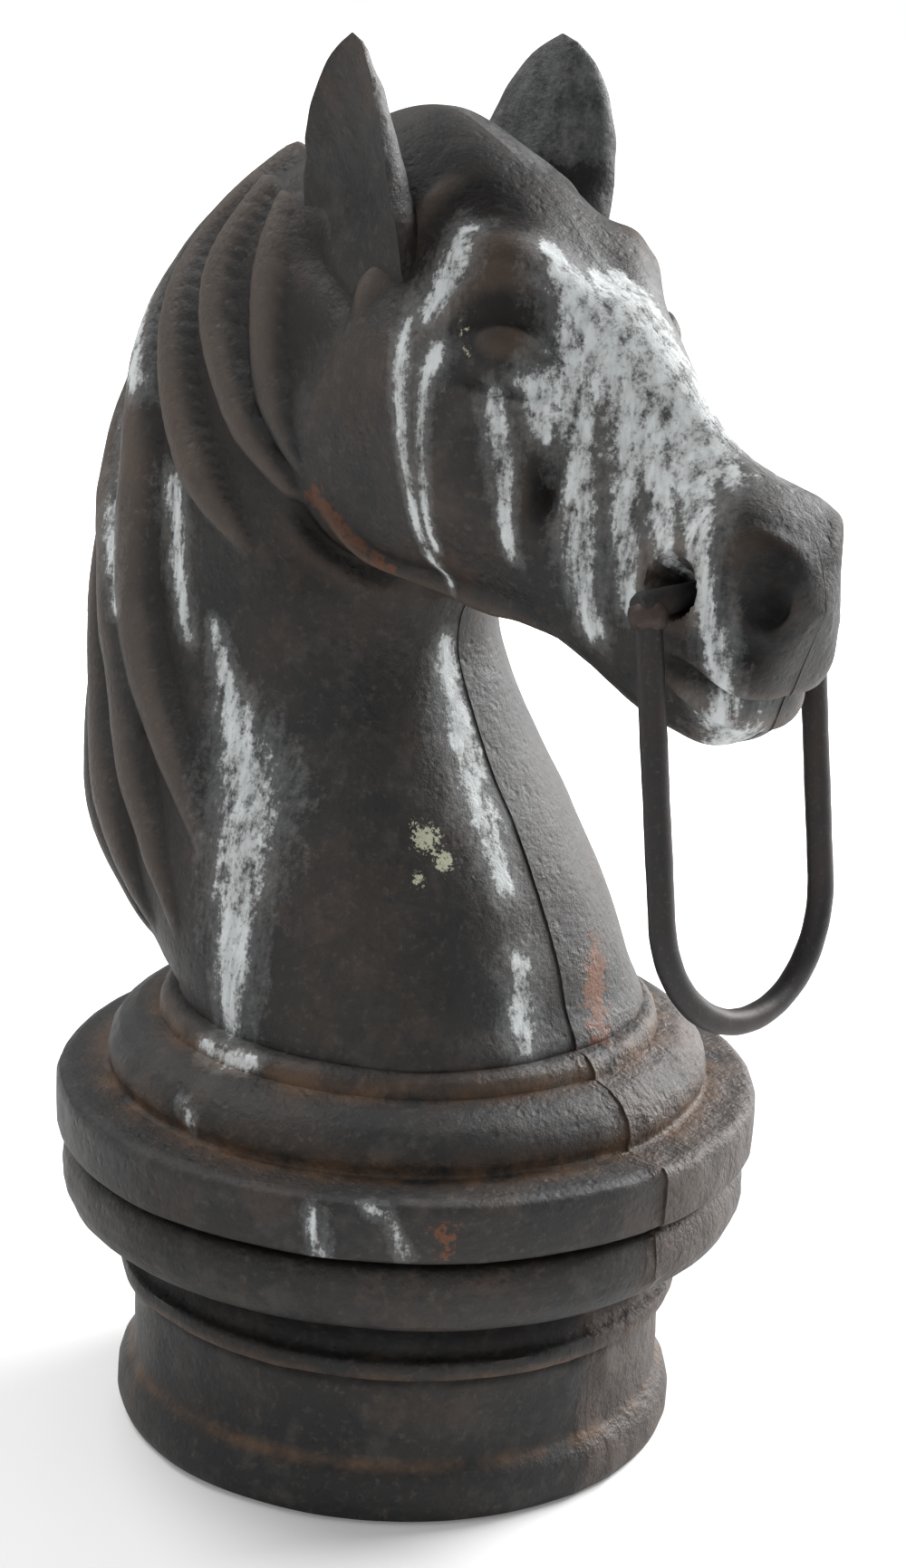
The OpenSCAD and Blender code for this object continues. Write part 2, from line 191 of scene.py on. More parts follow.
def laid(places):
    """The line through places, three points to a stretch, each moved to the plain form's nearest point."""
    places = np.array(places, float)
    k = np.linspace(0, len(places) - 1, 3 * len(places) - 2)
    line = np.stack([np.interp(k, np.arange(len(places)), places[:, i]) for i in range(3)], -1)
    line = np.stack([FORM[np.argmin(np.sum((FORM - p) ** 2, 1))] for p in line])
    for _ in range(2):
        line[1:-1] = (line[:-2] + 2 * line[1:-1] + line[2:]) / 4
    return line


laid_locks, laid_grooves, laid_ridges = (
    [(laid(line), width, height) for line, width, height in table] for table in (LOCKS, GROOVES, RIDGES)
)


def lock_height(p):
    """Each lock is a round back over its line, height (1 - (d / w)^2)^0.55, that tapers to its tip."""
    lock = np.zeros(p.shape[:-1])
    for places, width, height in laid_locks:
        d, t = along(p, places)
        w = width * np.clip(1.15 * np.sin(np.pi * (0.12 + 0.84 * t)) ** 0.7, 0.12, 1)
        back = np.clip(1 - (d / w) ** 2, 0, 1) ** 0.55
        tip = np.clip(4 - 4 * t, 0, 1) ** 0.7
        lock = np.maximum(lock, height * back * tip)
    return lock


def relief(p):
    """Height over the plain form: swells, plates, locks, grooves, ridges, mouth hole and the sand's
    unevenness. Grooves and ridges fade at their ends, but not where they cross the middle plane."""
    p = level_at_seam(p)
    h = np.zeros(p.shape[:-1])
    for table, power in ((SWELLS, 1), (PLATES, 2.5)):
        for centre, reach, height in table:
            h += height * np.exp(-np.sum(((p - centre) / np.array(reach)) ** 2, -1) ** power)
    h += lock_height(p)
    for sign, table in ((-1, laid_grooves), (1, laid_ridges)):
        for places, width, height in table:
            d, t = along(p, places)
            fade = smooth(-0.05, 0.3, t) * (smooth(-0.05, 0.3, 1 - t) if places[-1][0] < -1 else 1)
            h += sign * height * np.exp(-((d / width) ** 2)) * fade
    hole = np.hypot(p[..., 1] - MOUTH_Y, p[..., 2] - HOLE_Z)
    h -= HOLE_DEPTH * (1 - smooth(HOLE_R - 0.8, HOLE_R + 0.3, hole)) * (p[..., 0] < HOLE_START)
    return h + 0.45 * lattice_noise(p, 14, 1) + 0.12 * lattice_noise(p, 5, 2)


def head_skin(u, turn):
    """Outside points: the plain form moved out by its relief. With them, how far each stands above the
    mean of those around it."""
    p, middle, _ = head_form(u, turn)
    out = p - middle
    out /= np.linalg.norm(out, axis=-1, keepdims=True) + 1e-9
    mane = MANE_RISE * smooth(1.75, 2.3, turn) * smooth(4, 5.5, u) * (1 - smooth(13, 15.5, u))
    height = relief(p) + mane
    q = p + out * height[..., None]
    q[..., 0] = np.minimum(q[..., 0], 0) - SEAM_GAP / 2
    mean = height
    around = range(-7, 8)
    for axis in (0, 1):
        mean = sum(np.roll(mean, k, axis) for k in around) / len(around)
    return q, height - mean


def head_core(u, turn):
    """Inside of the wall: rings drawn in by its thickness, flat against the seam where the muzzle is solid."""
    _, middle, reach = head_form(u, turn)
    wall = np.where(u < 2.5, NECK_WALL, IRON_WALL)
    length = np.maximum(1 - wall / np.linalg.norm(reach, axis=-1), 0.3)
    q = middle - reach * (length * np.cos(turn))[..., None]
    q[..., 0] = -(1 - smooth(16, 18, u)) * (at_station(u)[..., 4] - wall) * np.sin(turn) - SEAM_GAP / 2
    return q


def shell(rings):
    """Points and faces of a closed skin: quads between neighbouring rings, and one face over each end."""
    m, n = rings.shape[:2]
    i, j = np.meshgrid(np.arange(m - 1), np.arange(n), indexing="ij")
    k = (j + 1) % n
    quads = np.stack([i * n + j, i * n + k, (i + 1) * n + k, (i + 1) * n + j], -1).reshape(-1, 4)
    first, last = np.arange(n), np.arange((m - 1) * n, m * n)
    return rings.reshape(-1, 3), quads.tolist() + [first[::-1].tolist(), last.tolist()]


def head_shell():
    """The wall of head and neck, skin outside and core inside. With it, the same points with the skin on
    the plain form, and how far each point stands out."""
    u = np.linspace(0, 1, HEAD_ROWS)[:, None] ** 0.95 * (len(STATIONS) - 1 - 1e-6)
    skin_grid = np.broadcast_arrays(u, np.linspace(0, np.pi, SKIN_COLUMNS))
    skin, stand = head_skin(*skin_grid)
    form = head_form(*skin_grid)[0]
    core = head_core(*np.broadcast_arrays(u, np.linspace(0, np.pi, CORE_COLUMNS)))
    plain = np.concatenate([core, form[:, ::-1]], 1).reshape(-1, 3)
    stand = np.concatenate([np.zeros((HEAD_ROWS, CORE_COLUMNS)), stand[:, ::-1]], 1).ravel()
    return shell(np.concatenate([core, skin[:, ::-1]], 1)), plain, stand


EAR_FOOT, EAR_TIP = np.array([-17.0, -1, 300]), np.array([-36.0, -5, 367])
EAR_WIDTH, EAR_DEPTH, EAR_BOW, EAR_TURN = 23, 21, 4, np.radians(-104)
EAR_ROWS, EAR_COLUMNS = 40, 56


def ear_shell():
    """Leaf: crescent rings, open toward the outside, on a bowed line from the ear's foot to its tip."""
    t = np.linspace(0, 1, EAR_ROWS)[:, None]
    half = EAR_COLUMNS // 2
    a = np.pi * np.arange(half) / (half - 1)
    b = a[::-1]
    width = EAR_WIDTH * np.maximum(1 - t**2.6, 0) ** 0.62 + 0.3
    depth = EAR_DEPTH * (1 - 0.8 * t) * np.maximum(1 - t**9, 0) ** 0.5 + 0.2
    hollow = 0.25 * smooth(0.15, 0.5, t) - 0.25 * (1 - smooth(0.15, 0.5, t))
    x = np.concatenate([width * np.cos(a), (0.97 - 0.3 * np.sin(b)) * width * np.cos(b)], 1)
    y = np.concatenate([depth * np.sin(a), hollow * depth * np.sin(b)], 1) - 0.35 * depth
    c, s = np.cos(EAR_TURN), np.sin(EAR_TURN)
    middle = EAR_FOOT + (EAR_TIP - EAR_FOOT) * t + (-EAR_BOW, 0, 0) * np.sin(np.pi * t)
    rings = np.stack([x * c - y * s, x * s + y * c, 0 * x], -1) + middle[:, None]
    rings += 0.5 * np.stack([lattice_noise(rings, 6, 3 + i) for i in range(3)], -1)
    return shell(rings)


# base mouldings, radius and height, from the inner edge of the foot round the outside and down the bore
BASE_OUTLINE = np.array([
    (60, 0), (73, 0), (75.2, 1), (76, 3.5), (75.9, 8), (74.8, 12), (73, 14.6), (71.9, 16.4), (71.5, 19),
    (71.5, 39.6), (73.8, 40), (75.4, 40.8), (75.8, 43), (75.4, 45.2), (73, 46), (71.8, 47.4), (72, 51),
    (74, 55.4), (78, 58.8), (83.4, 60.4), (87.2, 60.6), (89.8, 63), (91.5, 66.6), (92, 70.6), (91.4, 74.6),
    (89.6, 77.8), (86.2, 79), (85, 80.2), (88, 81), (92.4, 81.2), (93.3, 82.4), (93.5, 88), (93.4, 94),
    (92.7, 96), (90.8, 97), (83, 97.5), (79.4, 97.6), (79, 98.4), (79.8, 101.6), (79, 105.4), (76.6, 109),
    (72.5, 111.8), (68, 113), (66.4, 113.2), (66.2, 114.8), (65.6, 116.9), (64, 118.3), (62, 118.8),
    (56, 118.8), (51.5, 118), (51.5, 108), (76, 91), (76, 68), (54, 68), (54, 60), (60, 60),
], float)
BASE_STEP, BASE_COLUMNS = 2.0, 104


def outline_points(outline, step):
    """Points every step or less along the closed outline's straight runs."""
    runs = []
    for a, b in zip(outline, np.roll(outline, -1, 0)):
        count = max(1, int(np.ceil(np.hypot(*(b - a)) / step)))
        runs.append(a + (b - a) * np.arange(count)[:, None] / count)
    return np.concatenate(runs)


def base_shell():
    """Half turn of the base outline, uneven outside, with small lumps of flash along the seam."""
    radius, z = outline_points(BASE_OUTLINE, BASE_STEP).T
    a = np.radians(np.linspace(270, 90, BASE_COLUMNS))[:, None]
    rings = np.stack([np.cos(a) * radius, np.sin(a) * radius, 0 * a + z], -1)
    outside = smooth(61, 66, np.hypot(rings[..., 0], rings[..., 1])) * smooth(0, 2, rings[..., 2])
    away = rings * (1, 1, 0)
    away /= np.linalg.norm(away, axis=-1, keepdims=True)
    level = level_at_seam(rings)
    bumps = 0.7 * lattice_noise(level, 26, 6) + 0.3 * lattice_noise(level, 7, 7)
    flash = np.exp(-((rings[..., 0] / 11) ** 2)) * np.maximum(lattice_noise(level, 6, 11) - 0.15, 0)
    rings = rings + away * (outside * (bumps + 1.8 * flash))[..., None]
    rings[..., 0] -= SEAM_GAP / 2
    return shell(rings)


def joined(parts):
    """One list of points and one of faces from several."""
    points, faces, count = [], [], 0
    for part_points, part_faces in parts:
        points.append(part_points)
        faces += [[i + count for i in face] for face in part_faces]
        count += len(part_points)
    return np.concatenate(points), faces


def half_casting():
    """Head, ear and base set into one another. With them, each point's place on the plain form and how far
    it stands out."""
    head, plain, stand = head_shell()
    ear, base = ear_shell(), base_shell()
    points, faces = joined([head, ear, base])
    others = np.concatenate([ear[0], base[0]])
    return points, faces, np.concatenate([plain, others]), np.concatenate([stand, np.zeros(len(others))])


SHARP_EDGE = 1.1


def add_mesh(name, points, faces):
    """A smooth piece, made in metres, sharp only where faces meet at more than SHARP_EDGE radians."""
    mesh = bpy.data.meshes.new(name)
    mesh.from_pydata((points * MM).tolist(), [], faces)
    mesh.shade_smooth()
    mesh.set_sharp_from_angle(angle=SHARP_EDGE)
    mesh.update()
    piece = bpy.data.objects.new(name, mesh)
    bpy.context.scene.collection.objects.link(piece)
    return piece


# white lime runs on the right half: points along each run with a half width at each
LIME = [
    [(-3, -56, 319, 5), (-4, -68, 307, 10), (-5, -80, 295, 14), (-7, -94, 283, 12), (-8, -105, 276, 6)],
    [(-12, -50, 320, 4), (-13, -62, 308, 9), (-14, -74, 293, 12), (-14, -86, 282, 9)],
    [(-12, -70, 298, 9), (-16, -80, 286, 7), (-20, -84, 272, 5), (-23, -87, 256, 4), (-23, -89, 243, 3)],
    [(-19, -62, 300, 6), (-22, -69, 284, 6), (-25, -73, 270, 5), (-26, -77, 252, 4.5), (-25, -80, 236, 4)],
    [(-13, -84, 284, 7), (-18, -92, 270, 5), (-21, -98, 256, 3)],
    [(-9, -92, 281, 8), (-14, -101, 268, 7), (-18, -106, 258, 5), (-20, -112, 244, 4), (-19, -115, 234, 4),
     (-16, -117, 225, 4)],
    [(-24, -34, 322, 4), (-28, -37, 314, 5.5), (-33, -33, 305, 5)],
    [(-36, -28, 301, 2.4), (-38, -31, 285, 2.8), (-37, -34, 263, 2.2), (-31, -34, 246, 1.8),
     (-25, -33, 238, 1.4)],
    [(-36, -38, 296, 3), (-38, -37, 284, 2.2), (-38, -39, 268, 1.8), (-33, -37, 250, 1.4)],
    [(-32, -52, 288, 2.5), (-33, -56, 276, 3), (-33, -59, 263, 2.5), (-31, -60, 250, 2)],
    [(-26, -60, 290, 5), (-29, -64, 280, 3)],
    [(-15, -112, 221, 6), (-9, -112, 217, 8), (-3, -108, 213, 8)],
    [(-43, 34, 218, 2), (-46, 26, 203, 4), (-48, 17, 190, 8.5), (-51, 10, 176, 10), (-56, 7, 160, 8.5),
     (-60, 5, 145, 7), (-61, 3, 130, 6), (-61, 2, 122, 5)],
    [(-40, 54, 251, 4), (-42, 51, 238, 5), (-43, 49, 226, 4), (-44, 42, 213, 2.5)],
    [(-8, 64, 318, 3), (-12, 70, 312, 5), (-17, 76, 298, 6), (-24, 74, 286, 5), (-32, 68, 272, 4)],
    [(-20, 82, 276, 3), (-26, 80, 262, 5), (-33, 74, 246, 5), (-37, 71, 228, 4), (-40, 66, 214, 2.5)],
    [(-4, -15, 216, 3.5), (-6, -23, 195, 6), (-8, -32, 178, 6.5), (-10, -43, 160, 4)],
    [(-12, -53, 142, 5), (-16, -58, 123, 4)],
    [(-66, 8, 116, 2.6), (-66, -2, 115, 3.4), (-65, -11, 116, 2.4)],
    [(-79, 0, 106, 1.8), (-79.5, -4, 102, 2.4)],
    [(-79, -50, 93, 2.2), (-78, -51, 82, 2.2)],
    [(-71, -60, 96, 1.8), (-68, -64, 94, 1.5), (-65, -67, 84, 2.2)],
]
# rust, given in the same way, on either half
RUST = [
    [(16, -51, 138, 5), (13, -55, 130, 7), (10, -58, 122, 6)],
    [(-58, -73, 91, 3), (-57, -74, 86, 2.5)],
    [(-36, 2, 256, 5), (-24, -16, 236, 4)],
]
# round patches of lichen on the right half: middle and radius
LICHEN = [
    (-25, -29, 172, 3.8), (-23, -34, 167, 2.8), (-30, -32, 163, 1.6), (-27, -27, 176, 1.6),
    (-34, -42, 302, 1.8), (-29, -55, 305, 1.2), (-34, -45, 297, 1.3),
]
# darker places with less shine: painted shade round the eye, in and round the nostril, in the grooves
# below the eye and the cheek, and a darker forehead: middle and reach
SHADE_AND_DARK_SPOTS = [
    ((-14, -30, 332), (22, 36, 20)), ((-5, -38, 338), (24, 24, 15)), ((-14, -124, 248), (7, 8, 11)),
    ((-29, -67, 267), (5, 5, 10)), ((-22, -46, 316), (13, 15, 13)), ((-22, -64, 303), (8, 8, 10)),
    ((-29, -54, 300), (7, 8, 6)), ((-13, -118, 236), (9, 8, 8)), ((-8, -121, 262), (14, 12, 13)),
    ((-38, -2, 241), (10, 18, 16)),
]
# painted shade in the base's grooves and under its bead, and dust on its ledges: radius, height and reach of
# each ring
SHADE_RINGS = [(86, 80, 3), (74, 52, 6), (81, 59, 5), (71.5, 39, 2)]
DUST_RINGS = [(66.2, 114, 3.5), (80, 98, 4.5), (75.5, 40.5, 1.4), (72.5, 15, 1.6)]
NECK_FOOT, BASE_TOP = 121, 120


def stroke(points, marks, on_form=True):
    """1 on the marks' middle lines, falling to 0 past their half width; marks on the head lie on its form."""
    out = np.zeros(len(points))
    for mark in marks:
        mark = np.array(mark, float)
        places = mark[:, :3]
        if on_form and places[:, 2].min() > NECK_FOOT:
            places = laid(places)
        d, t = along(points, places)
        w = np.interp(t, np.linspace(0, 1, len(mark)), mark[:, 3])
        out = np.maximum(out, np.clip(1.35 - d / w, 0, 1))
    return out


def ring_marks(points, rings):
    """1 on each ring round the base, falling off as exp(-(d / reach)^2)."""
    radius = np.hypot(points[:, 0], points[:, 1])
    near = [np.exp(-((radius - r) ** 2 + (points[:, 2] - z) ** 2) / reach**2) for r, z, reach in rings]
    return np.max(near, 0) * (points[:, 2] < BASE_TOP)


def mark_casting(piece, points, stand, far):
    """Marks as shares at each point; the far side was sheltered, has less lime and has lost more paint."""
    near = points * (-1, 1, 1) if far else points
    x, y, z = points.T
    lime = stroke(near, LIME)
    wash = stroke(near, [[(*m[:3], 2.2 * m[3]) for m in mark] for mark in LIME])
    lichen = np.max([np.clip(1.4 - np.linalg.norm(near - m[:3], axis=1) / m[3], 0, 1) for m in LICHEN], 0)
    sheltered = np.exp(-((x / 5) ** 2)) * (z < 215)
    if far:
        face = smooth(255, 275, z) * (1 - smooth(4, 16, x))
        lime, wash = lime * face, np.maximum(wash * face, 0.8 * smooth(328, 340, z))
        lichen = 0 * lichen
        sheltered = 1 - smooth(215, 240, z)
    shade_and_dark_spots = [np.exp(-np.sum(((near - np.array(c)) / np.array(r)) ** 2, 1)) for c, r in SHADE_AND_DARK_SPOTS]
    shares = {
        "lime": lime,
        "wash": wash,
        "lichen": lichen,
        "rust": stroke(points, RUST, False),
        "high": np.clip(stand / 1.5, 0, 1),
        # painted shade: darker wherever the surface sinks below the points around it
        "recess_shade": np.clip(-stand / 1.5, 0, 1),
        "bare": sheltered * smooth(-20, -50, y) * (1 - 0.65 * smooth(116, 128, z)),
        "dust": ring_marks(points, DUST_RINGS),
        # painted shade round the eye, nostril and grooves, the darker forehead, and painted shade in the
        # base's grooves
        "shade_and_dark_spots": np.maximum(np.max(shade_and_dark_spots, 0), ring_marks(points, SHADE_RINGS)),
    }
    for name, values in shares.items():
        attribute = piece.data.attributes.new(name, "FLOAT", "POINT")
        attribute.data.foreach_set("value", np.asarray(values, np.float32))


right_points, right_faces, right_plain, right_stand = half_casting()
right = add_mesh("right_half_casting_skin", right_points, right_faces)
mark_casting(right, right_plain, right_stand, False)


# Left half casting
# The same pattern mirrored. It was set a little forward when the halves were closed, so its edge stands
# proud; only the head and the foot were filed flush.

SEAM_SHIFT = 0.8
SHIFT_HEIGHTS, SHIFT_SHARES = [66, 84, 118, 126, 205, 240], [0.05, 1, 1, 0.6, 0.6, 0.05]

left_points = right_points * (-1, 1, 1)
left_points[:, 1] -= SEAM_SHIFT * np.interp(left_points[:, 2], SHIFT_HEIGHTS, SHIFT_SHARES)
left = add_mesh("left_half_casting_skin", left_points, [face[::-1] for face in right_faces])
mark_casting(left, right_plain * (-1, 1, 1), right_stand, True)


# Finish of the iron
# Sand-cast grey iron under old black paint: a coarse, half dull skin, brown where the paint is thin.
# Lime runs, rust, dust in the creases and lichen lie over it. Its hollows and grooves are darkened
# with painted shade.

# patterns of the skin: size in millimetres, detail, roughness; moulding sand is finer, and is drawn
# coarser so that it shows
IRON_GRAINS = {
    "broad": (48, 4, 0.6), "middle": (11, 5, 0.65), "fine": (2.6, 6, 0.7), "sand": (1.0, 3, 0.7),
}
RUN_GRAIN, RUN_STRETCH, PIT_SIZE = (4, 5, 0.65), 0.16, 3.2
IRON_MARKS = ("lime", "wash", "lichen", "rust", "high", "recess_shade", "bare", "dust", "shade_and_dark_spots")


def linear(code):
    """sRGB hex colour as linear RGBA."""
    c = np.array([int(code[i:i + 2], 16) for i in (1, 3, 5)]) / 255
    return (*np.where(c <= 0.04045, c / 12.92, ((c + 0.055) / 1.055) ** 2.4), 1)


def node(tree, kind, inputs=None, **settings):
    """Adds a node; inputs are constants to set or sockets to link."""
    new = tree.nodes.new(kind)
    for key, value in settings.items():
        setattr(new, key, value)
    for key, value in (inputs or {}).items():
        if isinstance(value, bpy.types.NodeSocket):
            tree.links.new(value, new.inputs[key])
        else:
            new.inputs[key].default_value = value
    return new


def new_material(name):
    """An empty material and its node tree."""
    material = bpy.data.materials.new(name)
    material.use_nodes = True
    material.node_tree.nodes.clear()
    return material, material.node_tree


def grains(tree, where, table):
    """The patterns of a table, each worked out from its size in millimetres."""
    return [
        node(tree, "ShaderNodeTexNoise", {
            "Vector": where, "Scale": 1000 / size, "Detail": detail, "Roughness": roughness}).outputs["Fac"]
        for size, detail, roughness in table
    ]


def cover(tree, strength, *cuts):
    """Strength times a share for each cut, which is a value and the ends where its share is 0 and 1."""
    for value, low, high in cuts:
        cut = node(tree, "ShaderNodeMapRange", {"Value": value, "From Min": low, "From Max": high})
        factors = {0: cut.outputs["Result"], 1: strength}
        strength = node(tree, "ShaderNodeMath", factors, operation="MULTIPLY").outputs[0]
    return strength


def coat(tree, under, code, strength, *cuts):
    """A colour laid over the one under it, as far as its cover goes."""
    colours = {0: cover(tree, strength, *cuts), 6: under, 7: linear(code)}
    return node(tree, "ShaderNodeMix", colours, data_type="RGBA").outputs[2]


def summed(tree, total, *parts):
    """Total plus each part, which is a value and its weight."""
    for value, weight in parts:
        terms = {0: value, 1: weight, 2: total}
        total = node(tree, "ShaderNodeMath", terms, operation="MULTIPLY_ADD").outputs[0]
    return total


def worn(tree, mark, grain, edge, depth):
    """Turns a mark's share into a broken patch by adding grain and cutting; nothing outside the mark."""
    low = 0.5 + depth / 2
    return cover(tree, 1, (summed(tree, mark, (grain, depth)), low, low + edge), (mark, 0, 0.15))


def painted_skin(tree, broad, middle, fine, sand, mark, shade_and_dark_spots, bare):
    """Colour of paint, oxide and rust, from the ground up, with painted shade in the hollows and grooves."""
    colour = coat(tree, linear("#161718"), "#27221e", 1, (broad, 0.42, 0.58))
    colour = coat(tree, colour, "#343230", 0.8, (middle, 0.52, 0.66))
    colour = coat(tree, colour, "#4a423b", 0.7, (fine, 0.54, 0.7))
    colour = coat(tree, colour, "#0c0c0c", 0.8, (fine, 0.45, 0.3))
    colour = coat(tree, colour, "#40291d", 0.6, (middle, 0.52, 0.68), (broad, 0.5, 0.62))
    colour = coat(tree, colour, "#64381a", 0.85, (worn(tree, mark["rust"], fine, 0.4, 5.0), 0, 1))
    # painted shade round the eye, nostril and grooves, and the darker forehead
    colour = coat(tree, colour, "#08080a", 0.9, (shade_and_dark_spots, 0, 1))
    colour = coat(tree, colour, "#564a41", 0.55, (mark["high"], 0, 1))
    # painted shade where the surface sinks
    colour = coat(tree, colour, "#120d0a", 0.8, (mark["recess_shade"], 0, 1))
    colour = coat(tree, colour, "#4e423b", 0.6, (bare, 0, 1))
    colour = coat(tree, colour, "#654a32", 0.65, (mark["dust"], 0, 1), (middle, 0.35, 0.6))
    return coat(tree, colour, "#6a635b", 0.4, (sand, 0.75, 0.8), (broad, 0.5, 0.68))


def lime_cover(tree, lime, wash, middle, fine, sand, runs):
    """Share of white: thick lime broken up in runs, and a thin wash round it."""
    broken = summed(tree, 0, (fine, 0.3), (runs, 0.4), (middle, 0.1), (sand, 0.2))
    thick = worn(tree, summed(tree, 0, (lime, 0.95)), broken, 0.45, 4.6)
    thick = cover(tree, thick, (runs, 0.05, 0.62))
    thin = cover(tree, 0.22, (worn(tree, wash, broken, 0.9, 3.0), 0, 1))
    return node(tree, "ShaderNodeMath", {0: thick, 1: thin}, operation="MAXIMUM").outputs[0]


def iron_material():
    """Painted sand-cast iron, duller where it is white and with little shine in its painted shade and darker
    places.
    """
    material, tree = new_material("weathered_cast_iron")
    where = node(tree, "ShaderNodeTexCoord").outputs["Object"]
    tall = node(tree, "ShaderNodeMapping", {"Vector": where, "Scale": (1, 1, RUN_STRETCH)}).outputs["Vector"]
    broad, middle, fine, sand = grains(tree, where, IRON_GRAINS.values())
    runs = grains(tree, tall, [RUN_GRAIN])[0]
    pits = node(tree, "ShaderNodeTexVoronoi", {"Vector": where, "Scale": 1000 / PIT_SIZE}).outputs["Distance"]
    mark = {
        name: node(tree, "ShaderNodeAttribute", attribute_name=name).outputs["Fac"] for name in IRON_MARKS
    }
    # painted shade and darker places, broken up by the middle pattern
    shade_and_dark_spots = cover(tree, mark["shade_and_dark_spots"], (middle, 0.1, 0.48))
    bare = worn(tree, mark["bare"], middle, 0.6, 2.0)
    white = lime_cover(tree, mark["lime"], mark["wash"], middle, fine, sand, runs)
    lichen = worn(tree, mark["lichen"], sand, 0.2, 3.4)
    colour = painted_skin(tree, broad, middle, fine, sand, mark, shade_and_dark_spots, bare)
    colour = coat(tree, colour, "#c9cdcd", white)
    colour = coat(tree, colour, "#b3b59c", lichen)
    height = summed(
        tree, 0, (fine, 0.65), (middle, 0.45), (cover(tree, 0.25, (pits, 0, 0.35)), 1), (sand, 0.16),
        (summed(tree, 0, (bare, middle)), 1.6), (white, 0.25), (lichen, 0.25))
    bump = node(tree, "ShaderNodeBump", {"Strength": 0.65, "Distance": 0.0013, "Height": height})
    shader = node(tree, "ShaderNodeBsdfPrincipled", {
        "Base Color": colour,
        "Roughness": summed(tree, 0.36, (fine, 0.34), (white, 0.3)),
        "Normal": bump.outputs["Normal"],
        # less reflection in the painted shade and darker places
        "Specular IOR Level": summed(tree, 0.38, (shade_and_dark_spots, -0.3))})
    node(tree, "ShaderNodeOutputMaterial", {"Surface": shader.outputs[0]})
    return material


iron = iron_material()
for piece, cad_node in ((right, "right_half_casting"), (left, "left_half_casting")):
    piece.data.materials.append(iron)
    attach(piece, "casting")
    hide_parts(cad_node)


# Bail
# A bow of round steel bar, welded by its two ends to the cross bar that lies loose in the mouth hole.
# The bars are dark with brown patches, and the welds are lumpy and browner.

BAR_R, BAR_Z, BAR_END = 3.25, 246.6, 3.5
BOW_R, BOW_DROP = 29.5, 104.0
LEAN = np.radians(8)
WELD_R, WELD_POLE = 4.9, 0.02
TUBE_COLUMNS, LEG_ROWS, BEND_ROWS, BAR_ROWS = 28, 60, 90, 40


def tube(path, radius):
    """Closed tube along a path in an XZ plane, with the radius given at each of its points."""
    run = np.gradient(path, axis=0)
    run /= np.linalg.norm(run, axis=1, keepdims=True)
    flat = np.array([0.0, 1.0, 0.0])
    side = np.cross(run, flat)[:, None]
    a = np.linspace(0, 2 * np.pi, TUBE_COLUMNS, endpoint=False)[None, :, None]
    return shell(path[:, None] + radius[:, None, None] * (np.cos(a) * flat + np.sin(a) * side))


def bow_path():
    """Down one leg, round a half circle and up the other leg."""
    foot = BAR_Z - BOW_DROP + BOW_R
    leg = np.linspace(BAR_Z - BAR_R + 0.4, foot, LEG_ROWS, endpoint=False)
    a = np.linspace(0, np.pi, BEND_ROWS)
    down = np.stack([0 * leg - BOW_R, 0 * leg + MOUTH_Y, leg], -1)
    bend = np.stack([-BOW_R * np.cos(a), 0 * a + MOUTH_Y, foot - BOW_R * np.sin(a)], -1)
    return np.concatenate([down, bend, down[::-1] * (-1, 1, 1)])


def swung(points):
    """The bail rests a little forward: turned about the bar by the lean."""
    c, s = np.cos(LEAN), np.sin(LEAN)
    y, z = points[:, 1] - MOUTH_Y, points[:, 2] - BAR_Z
    return np.stack([points[:, 0], MOUTH_Y + c * y + s * z, BAR_Z - s * y + c * z], -1)


def weld_bead(side):
    """Lumpy ball where the leg's end meets the bar, closed by a tiny flat at each pole."""
    polar = np.clip(np.linspace(np.pi, 0, 24), WELD_POLE, np.pi - WELD_POLE)
    a, b = np.meshgrid(polar, np.linspace(0, 2 * np.pi, 36, endpoint=False), indexing="ij")
    ball = np.stack([np.sin(a) * np.cos(b), np.sin(a) * np.sin(b), np.cos(a)], -1)
    size = WELD_R * (1 + 0.12 * lattice_noise(ball, 0.55, 9) + 0.05 * lattice_noise(ball, 0.22, 10))
    return shell(ball * size[..., None] * (0.95, 0.95, 0.9) + (side * BOW_R, MOUTH_Y, BAR_Z - BAR_R + 0.6))


def steel_material(name, dark, brown, size, bump_height):
    """Steel that has browned: dark, with patches of brown and a fine pale grain."""
    material, tree = new_material(name)
    where = node(tree, "ShaderNodeTexCoord").outputs["Object"]
    middle, fine = grains(tree, where, [(size, 4, 0.6), (1.2, 6, 0.7)])
    colour = coat(tree, linear(dark), brown, 1, (middle, 0.35, 0.65))
    colour = coat(tree, colour, "#4b4039", 1, (fine, 0.55, 0.75))
    bump = node(tree, "ShaderNodeBump", {"Strength": 0.4, "Distance": bump_height, "Height": fine})
    shader = node(tree, "ShaderNodeBsdfPrincipled", {
        "Base Color": colour,
        "Metallic": 0.35,
        "Roughness": summed(tree, 0.35, (fine, 0.3)),
        "Normal": bump.outputs["Normal"]})
    node(tree, "ShaderNodeOutputMaterial", {"Surface": shader.outputs[0]})
    return material


path = bow_path()
step = np.arange(len(path))
bow_radius = BAR_R * (1 + 0.012 * np.sin(step * 0.31) + 0.008 * np.sin(step * 0.83))
bow_points, bow_faces = tube(path, bow_radius)
bow = add_mesh("bail_bow_bar", swung(bow_points), bow_faces)

